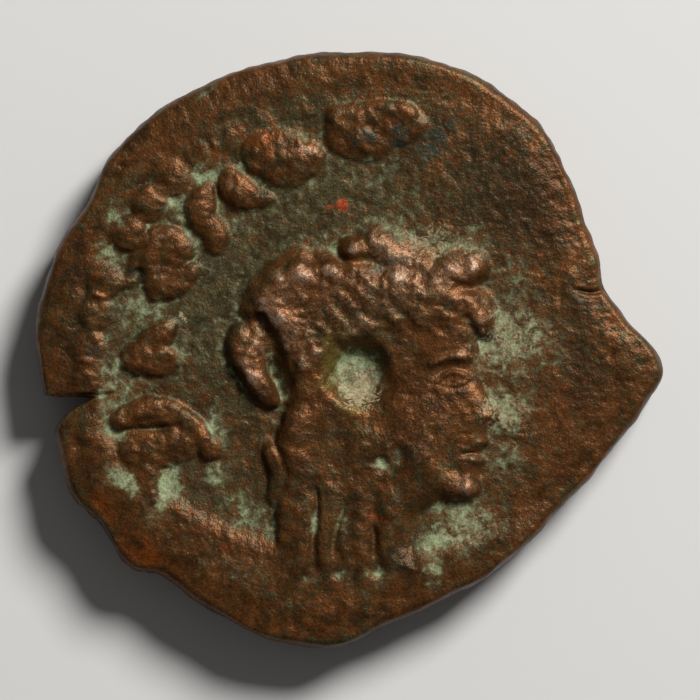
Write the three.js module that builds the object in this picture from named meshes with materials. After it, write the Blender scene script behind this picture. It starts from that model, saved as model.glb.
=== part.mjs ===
// A worn bronze coin, struck by hand on a cast flan and lying on its reverse.
// Millimetres, +Z up. The origin is on the resting plane under the middle of the outline,
// and the head on the obverse stands upright along +Y.
import * as THREE from "three";

const DEGREE = Math.PI / 180;

// The flan: the cast blank that was struck
const FIELD_HEIGHT = 2.2; // obverse field above the resting plane
const REVERSE_DEPTH = 0.2; // reverse field above the resting plane
const EDGE_HEIGHT = 1.15; // level of the widest line of the edge
const EDGE_INSET = 0.38; // how far the rounded edge reaches in over each face
const EDGE_FULLNESS = 0.65; // below 1 the edge is squarer than an ellipse
const EDGE_FALL = { width: 1.3, height: 0.16 }; // the faces sink a little on the way to the edge
const EDGE_WAVES = { count: 23, height: 0.025, phase: 0.4 }; // hand-cast unevenness

// Wear: how rounded the forms are, how far their feet spread, and how far two of them melt together
const BUMP_SOFTNESS = 1.4;
const STEEP = 0.75; // roundness of the forms that keep a steep foot
const FOOT_SPREAD = 1.15;
const VALLEY_SOFTNESS = 0.1;
const HAIR_SOFTNESS = 0.3;

// Outline of the flan, as the bearing in degrees and the radius of the points that shape it
const FLAN_OUTLINE = [
  [0, 10.1], [5, 9.34], [10, 8.92], [15, 8.64], [20, 8.78], [30, 8.92], [40, 9.32], [50, 9.75],
  [70, 10.0], [90, 9.88], [110, 9.93], [130, 10.16], [141, 10.2], [150, 9.97], [160, 10.21],
  [175, 10.42], [187, 10.24], [197, 10.18], [208, 10.38], [215, 10.1], [225, 10.22], [230, 9.77],
  [240, 9.76], [260, 9.96], [268, 9.8], [277, 9.24], [286, 8.9], [300, 8.76], [320, 8.7],
  [330, 8.91], [340, 9.34], [350, 9.98], [355.5, 10.42],
];

// The flan split at its edge when it was struck: steep on one side, torn open on the other
const SPLIT = { bearing: 190.6, depth: 1.5, steepSide: 2.4, openSide: 5.5 };
const CRACK = { from: [8.6, 1.97], to: [7.35, 1.95], halfWidth: 0.1, depth: 0.35 };

// Border of beads, cut one by one in the die: bearing in degrees and how much of each is left
const BORDER = { centre: [0.94, -1.27], radius: 9.73 };
const BEAD = { radius: 0.56, height: 0.26 };
const BEADS_LEFT = [
  [115, 0.2], [121, 0.3], [127, 0.4], [134.4, 0.65], [141, 0.95], [148.1, 1],
  [158.6, 0.75], [164.7, 0.7], [171.6, 0.6], [177.5, 0.6], [184, 0.5],
];

// Metal that the die did not reach: outside the border, and low on the left
const MARGIN = { start: 0.1, width: 0.85, height: 0.12 };
const WEAK_STRIKE = {
  at: [0.5, 0.5],
  size: [9.5, 7.2],
  step: [0.96, 1.06],
  height: 0.17,
  below: 0,
  full: -3,
};

// Worn strokes and lumps along the border: a stroke has two ends, a sideways bow and two half widths
const BORDER_STROKES = [
  { from: [-7.5, -2.3], to: [-4.75, -3.2], bow: 0.7, width: [0.46, 0.4], height: 0.25 },
  { from: [-6.85, -3.35], to: [-6.6, -5.0], bow: 0, width: [0.7, 0.18], height: 0.24 },
  { from: [-6.4, 2.1], to: [-5.2, 2.6], bow: -0.15, width: [0.42, 0.3], height: 0.22 },
  { from: [-0.3, 7.6], to: [1.9, 7.85], bow: 0.15, width: [0.42, 0.3], height: 0.21 },
];
const BORDER_LUMPS = [
  { at: [-6.1, -3.25], size: [1.0, 0.62], turn: 8, height: 0.24 },
  { at: [-6.3, 0.5], size: [0.68, 0.48], turn: 35, height: 0.24 },
  { at: [-6.68, -0.28], size: [0.82, 0.6], turn: -12, height: 0.26 },
  { at: [-6.1, 3.4], size: [0.82, 0.6], turn: -20, height: 0.26 },
  { at: [-6.75, 2.75], size: [0.6, 0.5], turn: 40, height: 0.22 },
  { at: [-5.95, 2.75], size: [0.6, 0.48], turn: 15, height: 0.2 },
  { at: [-4.85, 4.65], size: [0.75, 0.45], turn: 80, height: 0.26 },
  { at: [-4.55, 3.95], size: [0.75, 0.42], turn: 105, height: 0.24 },
  { at: [-3.75, 5.3], size: [0.72, 0.46], turn: -50, height: 0.26 },
  { at: [-3.2, 4.9], size: [0.6, 0.28], turn: 5, height: 0.2 },
  { at: [-2.4, 6.35], size: [1.05, 0.85], turn: -35, height: 0.26 },
  { at: [-1.65, 6.25], size: [0.75, 0.5], turn: 12, height: 0.29 },
  { at: [0.4, 7.15], size: [1.1, 0.85], turn: 5, height: 0.25 },
  { at: [1.6, 7.4], size: [0.85, 0.55], turn: 10, height: 0.17 },
  { at: [-7.75, 2.3], size: [0.75, 0.34], turn: -8, height: 0.15 },
];

// The head, in head heights: forward from the line of the forehead and up from the chin
const HEAD = { forehead: 4.25, chin: -5.1, height: 8.35 };
const HEAD_RELIEF = { height: 0.4, rounding: 0.65 }; // level of face and neck, and how its edge rounds off
const HEAD_SAMPLES = 180; // points along the outline of the head
const HEAD_OUTLINE = [
  [-0.03, 0.84], [0, 0.7], [0.006, 0.6], [-0.006, 0.535], [0.04, 0.43], [0.088, 0.345],
  [0.036, 0.298], [0.042, 0.24], [0.014, 0.205], [0.03, 0.17], [0.002, 0.122], [0.018, 0.065],
  [-0.035, 0], [-0.16, 0], [-0.245, -0.06], [-0.265, -0.17], [-0.22, -0.27],
  [-0.34, -0.295], [-0.46, -0.27], [-0.535, -0.31], [-0.61, -0.28], [-0.76, -0.31],
  [-0.765, 0], [-0.76, 0.35], [-0.85, 0.62], [-0.83, 0.83], [-0.68, 0.95], [-0.48, 0.985],
  [-0.25, 0.95], [-0.09, 0.9],
];
const FACE_LUMPS = {
  forehead: { at: [-0.13, 0.68], size: [0.16, 0.14], height: 0.08, softness: 2 },
  cheek: { at: [-0.2, 0.31], size: [0.2, 0.18], turn: 15, height: 0.15, softness: 2 },
  socket: { at: [-0.085, 0.515], size: [0.1, 0.065], height: -0.17, softness: 1.5 },
  eyeball: { at: [-0.092, 0.5], size: [0.052, 0.034], height: 0.13 },
  nostril: { at: [0.018, 0.338], size: [0.03, 0.024], height: 0.1 },
  upperLip: { at: [0.006, 0.236], size: [0.045, 0.02], turn: 12, height: 0.11 },
  lowerLip: { at: [-0.002, 0.176], size: [0.04, 0.021], turn: -8, height: 0.11 },
  mouthCorner: { at: [-0.056, 0.2], size: [0.02, 0.02], height: -0.07 },
  chin: { at: [-0.02, 0.07], size: [0.062, 0.056], height: 0.13, softness: 1.5 },
  throat: { at: [-0.36, -0.12], size: [0.24, 0.2], turn: 15, height: -0.17, softness: 1.5 },
};
const FACE_LINES = {
  brow: { from: [-0.02, 0.575], to: [-0.185, 0.558], bow: -0.018, width: [0.026, 0.02], height: 0.11 },
  upperLid: { from: [-0.038, 0.498], to: [-0.16, 0.488], bow: -0.032, width: [0.014, 0.012], height: 0.1 },
  lowerLid: { from: [-0.046, 0.488], to: [-0.145, 0.482], bow: 0.016, width: [0.011, 0.009], height: 0.05 },
  bridge: { from: [-0.005, 0.53], to: [0.05, 0.37], bow: 0, width: [0.026, 0.044], height: 0.1 },
  mouth: { from: [0.035, 0.206], to: [-0.05, 0.202], bow: 0, width: [0.01, 0.008], height: -0.1 },
  jaw: { from: [-0.46, 0.24], to: [-0.09, 0.035], bow: 0.05, width: [0.07, 0.06], height: 0.09 },
};

// Hair: strands swept from the crown towards the face, between two curves of three points each
const STRANDS = {
  count: 9,
  crown: [[-2.75, 0.5], [-3.3, 3.7], [3.0, 1.9]],
  hairline: [[-1.6, -0.5], [-0.15, 1.45], [4.3, 1.0]],
  backWidth: [0.56, 0.46],
  frontWidth: [0.42, 0.4],
  bow: 0.1,
  height: 0.56,
  fill: 1.7, // how much wider the mass is that fills the gaps beside a strand
  combing: 0.13, // how far the strands stand out of that mass
};

// Ridge of hair above the forehead, and the knot, rolled lobes, topknot and forelock
const CREST = { from: [0.75, 3.45], to: [2.7, 2.1], bow: 0.15, width: [0.42, 0.46], height: 0.4 };
const HAIR_LUMPS = [
  { at: [-3.25, -0.5], size: [1.4, 0.5], turn: -64, height: 0.52, softness: STEEP },
  { at: [-2.35, 1.15], size: [1.05, 0.72], turn: 110, height: 0.56, softness: STEEP },
  { at: [-1.75, 2.3], size: [0.85, 0.52], turn: 25, height: 0.55, softness: STEEP },
  { at: [0.18, 3.3], size: [0.66, 0.52], turn: -35, height: 0.52 },
  { at: [-0.75, 2.65], size: [0.75, 0.5], turn: 5, height: 0.54 },
  { at: [1.75, 1.9], size: [1.7, 0.95], turn: -20, height: 0.45 },
  { at: [3.3, 2.4], size: [1.2, 0.8], turn: 22, height: 0.5 },
  { at: [4.0, 2.8], size: [0.65, 0.6], height: 0.38 },
];

// Long locks that fall on the neck, each twisted like a cord, and the grooves that part them
const NECK_LOCKS = [
  { from: [-2.5, -3.4], to: [-2.3, -4.9], width: [0.38, 0.32], height: 0.3 },
  { from: [-1.65, -2.2], to: [-1.85, -7.4], width: [0.54, 0.56], height: 0.5 },
  { from: [-0.75, -4.6], to: [-0.85, -7.3], width: [0.5, 0.26], height: 0.44 },
  { from: [0.2, -4.8], to: [0.35, -7.4], width: [0.5, 0.24], height: 0.42 },
  { from: [1.3, -4.8], to: [1.2, -7.1], width: [0.6, 0.3], height: 0.42 },
];
const LOCK_TWIST = { pitch: 0.62, slant: 0.5, depth: 0.03 };
const LOCK_END = 0.5; // share of a lock's height that is left at its lower end
const GROOVES = [
  { from: [-3.05, 0.9], to: [-2.1, -1.4], bow: 0.1, width: [0.24, 0.3], height: 0.32 },
  { from: [-1.15, -4.6], to: [-1.3, -7.1], bow: 0.06, width: [0.07, 0.24], height: 0.16 },
  { from: [-0.35, -5.3], to: [-0.45, -7.2], bow: -0.05, width: [0.05, 0.3], height: 0.13 },
  { from: [0.7, -5.7], to: [0.95, -7.3], bow: 0.04, width: [0.05, 0.34], height: 0.12 },
];

// Hollows in the obverse, each with the share of its half size that is level floor
const HOLLOWS = [
  { at: [0.28, -0.76], size: [1.15, 1.3], turn: 15, depth: 0.62, floor: 0.42 },
  { at: [1.6, -3.45], size: [0.42, 0.32], turn: 25, depth: 0.2, floor: 0.2 },
  { at: [1.1, -3.8], size: [0.45, 0.26], turn: -15, depth: 0.12, floor: 0.2 },
  { at: [-7.0, 2.5], size: [0.3, 0.24], turn: 60, depth: 0.16, floor: 0.2 },
  { at: [-8.9, -3.1], size: [0.3, 0.22], turn: 20, depth: 0.1, floor: 0.2 },
];
const HOLLOW_LIP = 1.12; // where a hollow starts to sink, in its half sizes

// The hand of the die cutter: slow waves that keep the forms from being regular
const HAND_WAVES = { reach: 0.06, pitch: 2.3, slants: [0.4, -0.6], phase: 2 };

// The reverse: an eight-rayed star inside a plain margin, worn flat on the resting plane
const STAR = { rays: 8, inner: 2.6, outer: 5.9, width: [0.95, 0.5], turn: 9, height: 0.26 };
const STAR_HUB = { radius: 1.4, slope: 0.9 };
const REVERSE_MARGIN = { start: 7.3, width: 1.2, height: 0.17 };

const BRONZE = { color: 0x6b4a2c, metalness: 0.6, roughness: 0.55 };

// Facets: grid cells across the flan, spokes around it, and how far a facet may stray
const GRID_CELLS = 128;
const SPOKE_STEP = 4; // grid cells between two spokes at the rim
const GRID_TURN = -0.65 * DEGREE; // turns one spoke onto the root of the split
const CENTRE_RADIUS = 9.4; // the grid is round in the middle and follows the outline at the rim
const RIM_ANGLES = [50, 90, 130]; // rows of the rounded edge, from the obverse down
const OBVERSE_TOLERANCE = 0.031;
const REVERSE_TOLERANCE = 0.045;
const COARSEST_CELL = 16;

const clamp01 = (t) => Math.min(1, Math.max(0, t));
const mix = (a, b, t) => a + (b - a) * t;

function smoothStep(from, to, value) {
  const t = clamp01((value - from) / (to - from));
  return t * t * (3 - 2 * t);
}

// The greater of two heights above the field, with a soft valley where they meet
function softMax(a, b, softness = VALLEY_SOFTNESS) {
  const limit = Math.min(softness, a, b);
  if (limit <= 0) return Math.max(a, b);
  const t = clamp01(0.5 + (0.5 * (a - b)) / limit);
  return mix(b, a, t) + limit * t * (1 - t);
}

// Height of a worn bump, from 1 in the middle to 0 at its foot
function dome(t, softness = BUMP_SOFTNESS) {
  return t < 1 ? Math.pow(1 - t * t, softness) : 0;
}

// Distance from the middle of a turned ellipse, 1 on its foot line
function ellipseReach(x, y, { at, size, turn = 0 }) {
  const cosine = Math.cos(turn * DEGREE);
  const sine = Math.sin(turn * DEGREE);
  const along = (x - at[0]) * cosine + (y - at[1]) * sine;
  const across = (y - at[1]) * cosine - (x - at[0]) * sine;
  return Math.hypot(along / size[0], across / size[1]);
}

function lens(x, y, bump) {
  return bump.height * dome(ellipseReach(x, y, bump) / FOOT_SPREAD, bump.softness);
}

// Where a point lies beside a bowed line: how far along it, and how far from it
function besideLine(x, y, { from, to, bow = 0 }) {
  const length = Math.hypot(to[0] - from[0], to[1] - from[1]);
  const ahead = [(to[0] - from[0]) / length, (to[1] - from[1]) / length];
  const along = (x - from[0]) * ahead[0] + (y - from[1]) * ahead[1];
  const across = (y - from[1]) * ahead[0] - (x - from[0]) * ahead[1];
  const share = clamp01(along / length);
  const aside = across - 4 * bow * share * (1 - share);
  const away = Math.hypot(along - share * length, aside);
  return { share, away, aside, length };
}

// A tapering ridge along a bowed line
function ridge(x, y, line) {
  const { share, away } = besideLine(x, y, line);
  return line.height * dome(away / (FOOT_SPREAD * mix(line.width[0], line.width[1], share)), line.softness);
}

// Cubic through the outline points around a bearing in degrees
function smoothOutline(bearing) {
  const count = FLAN_OUTLINE.length;
  let next = FLAN_OUTLINE.findIndex(([degrees]) => degrees > bearing);
  if (next < 0) next = count;
  const point = (index) => {
    const turns = Math.floor(index / count);
    const [degrees, radius] = FLAN_OUTLINE[index - turns * count];
    return [degrees + 360 * turns, radius];
  };
  const [before, start, end, after] = [next - 2, next - 1, next, next + 1].map(point);
  const span = end[0] - start[0];
  const slopeIn = ((end[1] - before[1]) / (end[0] - before[0])) * span;
  const slopeOut = ((after[1] - start[1]) / (after[0] - start[0])) * span;
  const t = (bearing - start[0]) / span;
  const rise = end[1] - start[1];
  const bend = 3 * rise - 2 * slopeIn - slopeOut;
  const twist = slopeIn + slopeOut - 2 * rise;
  return start[1] + t * (slopeIn + t * (bend + t * twist));
}

// Depth of the split at a bearing in degrees
function splitDepth(bearing) {
  const turn = bearing - SPLIT.bearing;
  if (turn < 0) return SPLIT.depth * (1 - smoothStep(0, SPLIT.steepSide, -turn));
  return SPLIT.depth * Math.pow(clamp01(1 - turn / SPLIT.openSide), 2);
}

// Radius of the flan at its widest line
function flanRadius(angle) {
  const bearing = THREE.MathUtils.euclideanModulo(angle / DEGREE, 360);
  const wave = EDGE_WAVES.height * Math.sin(EDGE_WAVES.count * angle + EDGE_WAVES.phase);
  return smoothOutline(bearing) - splitDepth(bearing) + wave;
}

// Signed distance into a closed outline, positive inside
function depthInside(x, y, outline) {
  let nearest = Infinity;
  let inside = false;
  for (let i = 0, j = outline.length - 1; i < outline.length; j = i++) {
    const a = outline[i];
    const b = outline[j];
    const along = (x - a.x) * (b.x - a.x) + (y - a.y) * (b.y - a.y);
    const share = clamp01(along / a.distanceToSquared(b));
    nearest = Math.min(nearest, Math.hypot(x - mix(a.x, b.x, share), y - mix(a.y, b.y, share)));
    const crosses = a.y > y !== b.y > y;
    if (crosses && x < mix(a.x, b.x, (y - a.y) / (b.y - a.y))) inside = !inside;
  }
  return inside ? nearest : -nearest;
}

// From head heights to the frame of the coin
function onHead([forward, up]) {
  return [HEAD.forehead + forward * HEAD.height, HEAD.chin + up * HEAD.height];
}

const scaledToHead = (shares) => shares.map((share) => share * HEAD.height);

function lumpOnHead(lump) {
  return { ...lump, at: onHead(lump.at), size: scaledToHead(lump.size) };
}

function lineOnHead(line) {
  const [bow, ...width] = scaledToHead([line.bow, ...line.width]);
  return { ...line, from: onHead(line.from), to: onHead(line.to), bow, width };
}

function closedCurve(points, samples) {
  const corners = points.map(([x, y]) => new THREE.Vector3(x, y, 0));
  const curve = new THREE.CatmullRomCurve3(corners, true, "catmullrom");
  return curve.getPoints(samples).slice(0, samples);
}

const headOutline = closedCurve(HEAD_OUTLINE.map(onHead), HEAD_SAMPLES);
const faceLumps = Object.values(FACE_LUMPS).map(lumpOnHead);
const faceLines = Object.values(FACE_LINES).map(lineOnHead);

function faceAndNeck(x, y) {
  const depth = depthInside(x, y, headOutline);
  if (depth <= 0) return 0;
  let height = HEAD_RELIEF.height;
  for (const lump of faceLumps) height += lens(x, y, lump);
  for (const line of faceLines) height += ridge(x, y, line);
  return height * dome(1 - Math.min(1, depth / HEAD_RELIEF.rounding), 1);
}

// Point on the curve that starts and ends at two points and is drawn towards a third between them
function onCurve(points, share) {
  const corners = points.map(([x, y]) => new THREE.Vector2(x, y));
  return new THREE.QuadraticBezierCurve(...corners).getPoint(share).toArray();
}

function strand(index) {
  const { count, crown, hairline, backWidth, frontWidth, bow, height } = STRANDS;
  const share = index / (count - 1);
  const width = backWidth.map((back, end) => mix(back, frontWidth[end], share));
  return { from: onCurve(crown, share), to: onCurve(hairline, share), bow, width, height };
}

const strands = Array.from({ length: STRANDS.count }, (_, index) => strand(index));

// One strand, standing a little out of the mass of hair beside it
function strandHeight(x, y, line) {
  const mass = ridge(x, y, { ...line, width: line.width.map((half) => half * STRANDS.fill) });
  return mix(mass, ridge(x, y, line), STRANDS.combing);
}

function neckLock(x, y, lock) {
  const { share, aside, length } = besideLine(x, y, lock);
  const turns = (share * length - LOCK_TWIST.slant * aside) / LOCK_TWIST.pitch;
  const twist = 1 + LOCK_TWIST.depth * Math.cos(2 * Math.PI * turns);
  return ridge(x, y, { ...lock, softness: STEEP }) * mix(1, LOCK_END, share * share) * twist;
}

function hair(x, y) {
  let height = 0;
  for (const line of [...strands, CREST]) height = softMax(height, strandHeight(x, y, line), HAIR_SOFTNESS);
  for (const lump of HAIR_LUMPS) height = softMax(height, lens(x, y, lump), HAIR_SOFTNESS);
  for (const lock of NECK_LOCKS) height = softMax(height, neckLock(x, y, lock));
  return height;
}

function bead([bearing, left]) {
  const at = [
    BORDER.centre[0] + BORDER.radius * Math.cos(bearing * DEGREE),
    BORDER.centre[1] + BORDER.radius * Math.sin(bearing * DEGREE),
  ];
  return { at, size: [BEAD.radius, BEAD.radius], height: BEAD.height * left };
}

const beads = BEADS_LEFT.map(bead);

function border(x, y) {
  let height = 0;
  for (const bump of [...beads, ...BORDER_LUMPS]) {
    height = softMax(height, lens(x, y, { ...bump, softness: STEEP }));
  }
  for (const stroke of BORDER_STROKES) {
    height = softMax(height, ridge(x, y, { ...stroke, softness: STEEP }));
  }
  return height;
}

function unstruckMetal(x, y) {
  const outside = Math.hypot(x - BORDER.centre[0], y - BORDER.centre[1]) - BORDER.radius;
  const margin = MARGIN.height * smoothStep(MARGIN.start, MARGIN.start + MARGIN.width, outside);
  const low = smoothStep(WEAK_STRIKE.below, WEAK_STRIKE.full, y);
  const weak = WEAK_STRIKE.height * low * smoothStep(...WEAK_STRIKE.step, ellipseReach(x, y, WEAK_STRIKE));
  return Math.max(margin, weak);
}

function hollows(x, y) {
  let depth = 0;
  for (const hollow of HOLLOWS) {
    const openShare = 1 - smoothStep(hollow.floor, HOLLOW_LIP, ellipseReach(x, y, hollow));
    depth = Math.max(depth, hollow.depth * openShare);
  }
  for (const groove of GROOVES) depth = Math.max(depth, ridge(x, y, groove));
  const { share, away } = besideLine(x, y, CRACK);
  return Math.max(depth, CRACK.depth * (1 - share) * dome(away / CRACK.halfWidth));
}

function edgeFall(x, y) {
  const toEdge = flanRadius(Math.atan2(y, x)) - Math.hypot(x, y);
  return EDGE_FALL.height * (1 - smoothStep(0, EDGE_FALL.width, toEdge));
}

// Shifts a point by slow waves, so that what is cut there wavers like handwork
function handShift(x, y) {
  const { reach, pitch, slants, phase } = HAND_WAVES;
  const wave = (2 * Math.PI) / pitch;
  const right = reach * Math.sin(wave * (y + slants[0] * x));
  const up = reach * Math.sin(wave * (x + slants[1] * y) + phase);
  return [x + right, y + up];
}

function obverseHeight(x, y) {
  const shifted = handShift(x, y);
  let relief = softMax(unstruckMetal(x, y), border(...shifted));
  relief = softMax(relief, faceAndNeck(x, y));
  relief = softMax(relief, hair(...shifted));
  return FIELD_HEIGHT + relief - hollows(...shifted) - edgeFall(x, y);
}

function starRay(index) {
  const bearing = (index * 360) / STAR.rays + STAR.turn;
  const at = (radius) => [radius * Math.cos(bearing * DEGREE), radius * Math.sin(bearing * DEGREE)];
  return { from: at(STAR.inner), to: at(STAR.outer), width: STAR.width, height: STAR.height };
}

const starRays = Array.from({ length: STAR.rays }, (_, index) => starRay(index));

// The reverse is worn level: what stands higher than its field reaches down to the resting plane
function reverseHeight(x, y) {
  const reach = Math.hypot(x, y);
  const { start, width, height } = REVERSE_MARGIN;
  let relief = height * smoothStep(start, start + width, reach);
  const hub = 1 - smoothStep(STAR_HUB.radius, STAR_HUB.radius + STAR_HUB.slope, reach);
  relief = softMax(relief, STAR.height * hub);
  for (const ray of starRays) relief = softMax(relief, ridge(x, y, ray));
  return Math.max(0, REVERSE_DEPTH - relief) + edgeFall(x, y);
}

// A square grid squeezed onto the flan, so that the border of the grid follows the outline
function gridPoint(column, row, heightAt) {
  const u = (2 * column) / GRID_CELLS - 1;
  const v = (2 * row) / GRID_CELLS - 1;
  const reach = Math.max(Math.abs(u), Math.abs(v));
  if (reach === 0) return new THREE.Vector3(0, 0, heightAt(0, 0));
  const sideways = Math.abs(u) >= Math.abs(v);
  const quarter = sideways ? v / u : 2 - u / v;
  const opposite = (sideways ? u : v) < 0 ? Math.PI : 0;
  const angle = (quarter * Math.PI) / 4 + opposite + GRID_TURN;
  const radius = reach * mix(CENTRE_RADIUS, flanRadius(angle) - EDGE_INSET, Math.pow(reach, 4));
  const x = radius * Math.cos(angle);
  const y = radius * Math.sin(angle);
  return new THREE.Vector3(x, y, heightAt(x, y));
}

// Grid triangles halve along their longest side, down to single cells; coarse levels come first
function triangleLevels() {
  const last = GRID_CELLS;
  let level = [
    [[last, last], [0, 0], [last, 0]],
    [[0, 0], [last, last], [0, last]],
  ];
  const levels = [];
  while (halfway(level[0])) {
    levels.push(level);
    level = level.flatMap(halves);
  }
  return levels;
}

function halfway([a, b]) {
  const column = (a[0] + b[0]) / 2;
  const row = (a[1] + b[1]) / 2;
  return Number.isInteger(column) && Number.isInteger(row) ? [column, row] : null;
}

function halves(triangle) {
  const [a, b, c] = triangle;
  const middle = halfway(triangle);
  return [[c, a, middle], [b, c, middle]];
}

const cellIndex = ([column, row]) => row * (GRID_CELLS + 1) + column;

const onRim = (place) => place.some((step) => step % GRID_CELLS === 0);
const onSpoke = (place) => place.every((step) => step % SPOKE_STEP === 0);
const middlesBelow = (triangle) => halves(triangle).map(halfway).filter(Boolean).map(cellIndex);

// Grid corners left out of both faces: those on the rim between two spokes, and all that hang on them
function cornersLeftOut(levels) {
  const leftOut = new Set();
  for (const triangle of levels.flat()) {
    const middle = halfway(triangle);
    if (onRim(middle) && !onSpoke(middle)) leftOut.add(cellIndex(middle));
    if (leftOut.has(cellIndex(middle))) middlesBelow(triangle).forEach((index) => leftOut.add(index));
  }
  return leftOut;
}

// How far a facet strays from the face at the middle of its longest side
function ownStray(triangle, points) {
  const [a, b] = triangle;
  const middle = halfway(triangle);
  const longSide = Math.hypot(b[0] - a[0], b[1] - a[1]);
  if (longSide > COARSEST_CELL || (onRim(middle) && onSpoke(middle))) return Infinity;
  return Math.abs(points[cellIndex(middle)].z - (points[cellIndex(a)].z + points[cellIndex(b)].z) / 2);
}

// Facets of one face: few where it is plain, more where the relief bends
function faceFacets(points, tolerance) {
  const levels = triangleLevels();
  const leftOut = cornersLeftOut(levels);
  const stray = new Float64Array(points.length);
  for (const triangle of levels.flat().reverse()) {
    const middle = cellIndex(halfway(triangle));
    const below = middlesBelow(triangle).map((index) => stray[index]);
    stray[middle] = Math.max(stray[middle], ownStray(triangle, points), ...below);
  }
  const facets = [];
  const place = (triangle) => {
    const middle = halfway(triangle);
    const splits = middle && stray[cellIndex(middle)] > tolerance && !leftOut.has(cellIndex(middle));
    if (splits) halves(triangle).forEach(place);
    else facets.push(triangle.map(cellIndex));
  };
  levels[0].forEach(place);
  return facets;
}

function facePoints(heightAt) {
  const points = [];
  for (let row = 0; row <= GRID_CELLS; row++) {
    for (let column = 0; column <= GRID_CELLS; column++) points.push(gridPoint(column, row, heightAt));
  }
  return points;
}

// Grid corners at the rim, one per spoke, counter-clockwise from above
function rimPlaces() {
  const last = GRID_CELLS;
  const places = [];
  for (let step = 0; step < last; step += SPOKE_STEP) places.push([step, 0]);
  for (let step = 0; step < last; step += SPOKE_STEP) places.push([last, step]);
  for (let step = last; step > 0; step -= SPOKE_STEP) places.push([step, last]);
  for (let step = last; step > 0; step -= SPOKE_STEP) places.push([0, step]);
  return places.map(cellIndex);
}

// One point of the rounded edge, on the spoke between the rims of the two faces
function edgePoint(top, bottom, rimAngle) {
  const angle = Math.atan2(top.y, top.x);
  const outward = EDGE_INSET * Math.pow(Math.sin(rimAngle * DEGREE), EDGE_FULLNESS);
  const radius = Math.hypot(top.x, top.y) + outward;
  const face = rimAngle < 90 ? top : bottom;
  const height = mix(EDGE_HEIGHT, face.z, Math.pow(Math.abs(Math.cos(rimAngle * DEGREE)), EDGE_FULLNESS));
  return new THREE.Vector3(radius * Math.cos(angle), radius * Math.sin(angle), height);
}

// Corners of the facets between two rings around the edge
function stripCorners(upper, lower) {
  return upper.flatMap((corner, spoke) => {
    const next = (spoke + 1) % upper.length;
    return [corner, lower[spoke], lower[next], corner, lower[next], upper[next]];
  });
}

function coinGeometry() {
  const obverse = facePoints(obverseHeight);
  const reverse = facePoints(reverseHeight);
  const rim = rimPlaces();
  const edgeRing = (rimAngle) => rim.map((place) => edgePoint(obverse[place], reverse[place], rimAngle));
  const topRing = rim.map((place) => obverse[place]);
  const bottomRing = rim.map((place) => reverse[place]);
  const rings = [topRing, ...RIM_ANGLES.map(edgeRing), bottomRing];
  const upward = faceFacets(obverse, OBVERSE_TOLERANCE).flat();
  const downward = faceFacets(reverse, REVERSE_TOLERANCE).flat().reverse();
  const corners = [...upward.map((index) => obverse[index]), ...downward.map((index) => reverse[index])];
  for (let ring = 0; ring + 1 < rings.length; ring++) {
    corners.push(...stripCorners(rings[ring], rings[ring + 1]));
  }
  return new THREE.BufferGeometry().setFromPoints(corners);
}

function coin() {
  const geometry = coinGeometry();
  geometry.computeVertexNormals();
  const mesh = new THREE.Mesh(geometry, new THREE.MeshStandardMaterial(BRONZE));
  mesh.name = "coin";
  return mesh;
}

const part = new THREE.Group();
part.name = "greek_bronze_coin";
part.add(coin());

export default part;
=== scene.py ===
"""Looks of a worn bronze coin: its struck relief, corrosion and patina.

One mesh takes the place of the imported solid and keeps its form. Sizes and places are in millimetres,
and MM turns them into the metres of the frame.
"""
import math
from typing import NamedTuple

import bpy
import numpy as np
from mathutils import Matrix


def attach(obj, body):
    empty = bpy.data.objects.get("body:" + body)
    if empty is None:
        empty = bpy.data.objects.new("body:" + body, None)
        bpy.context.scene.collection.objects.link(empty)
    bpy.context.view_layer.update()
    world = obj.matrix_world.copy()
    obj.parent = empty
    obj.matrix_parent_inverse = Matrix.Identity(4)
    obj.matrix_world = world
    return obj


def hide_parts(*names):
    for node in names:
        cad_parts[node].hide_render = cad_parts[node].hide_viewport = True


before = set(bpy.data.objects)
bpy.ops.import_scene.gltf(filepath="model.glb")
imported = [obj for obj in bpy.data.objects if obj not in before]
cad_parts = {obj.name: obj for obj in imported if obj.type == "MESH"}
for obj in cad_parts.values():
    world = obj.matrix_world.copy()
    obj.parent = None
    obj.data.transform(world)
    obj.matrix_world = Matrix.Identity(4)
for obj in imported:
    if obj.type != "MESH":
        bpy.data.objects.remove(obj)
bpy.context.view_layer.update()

MM = 0.001

# Wear: how rounded the forms are, how far their feet spread, and how far two of them melt together
BUMP_SOFTNESS = 1.4
FOOT_SPREAD = 1.15
VALLEY_SOFTNESS = 0.1
HAIR_SOFTNESS = 0.3
EDGE_WEAR = 0.06
STEEP = 0.5

# Least softness of a valley, so that nothing is divided by zero
LEAST_VALLEY = 1e-9


class Lump(NamedTuple):
    """A worn bump: its middle, half sizes, height, turn in degrees and roundness."""
    at: tuple
    size: tuple
    height: float
    turn: float = 0.0
    softness: float = BUMP_SOFTNESS


class Stroke(NamedTuple):
    """A tapering ridge: its ends, half width at each end, height, sideways bow and roundness."""
    start: tuple
    end: tuple
    width: tuple
    height: float
    bow: float = 0.0
    softness: float = BUMP_SOFTNESS


class Patch(NamedTuple):
    """An oval place: its middle, half sizes, strength and turn in degrees."""
    at: tuple
    size: tuple
    strength: float
    turn: float = 0.0


class Texture(NamedTuple):
    """Noise in a material: width of its features, detail, seed, and the twist that draws out fibres."""
    width: float
    detail: int
    seed: int
    twist: float = 0.0


def colour(red, green, blue):
    return (red, green, blue, 1.0)


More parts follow.
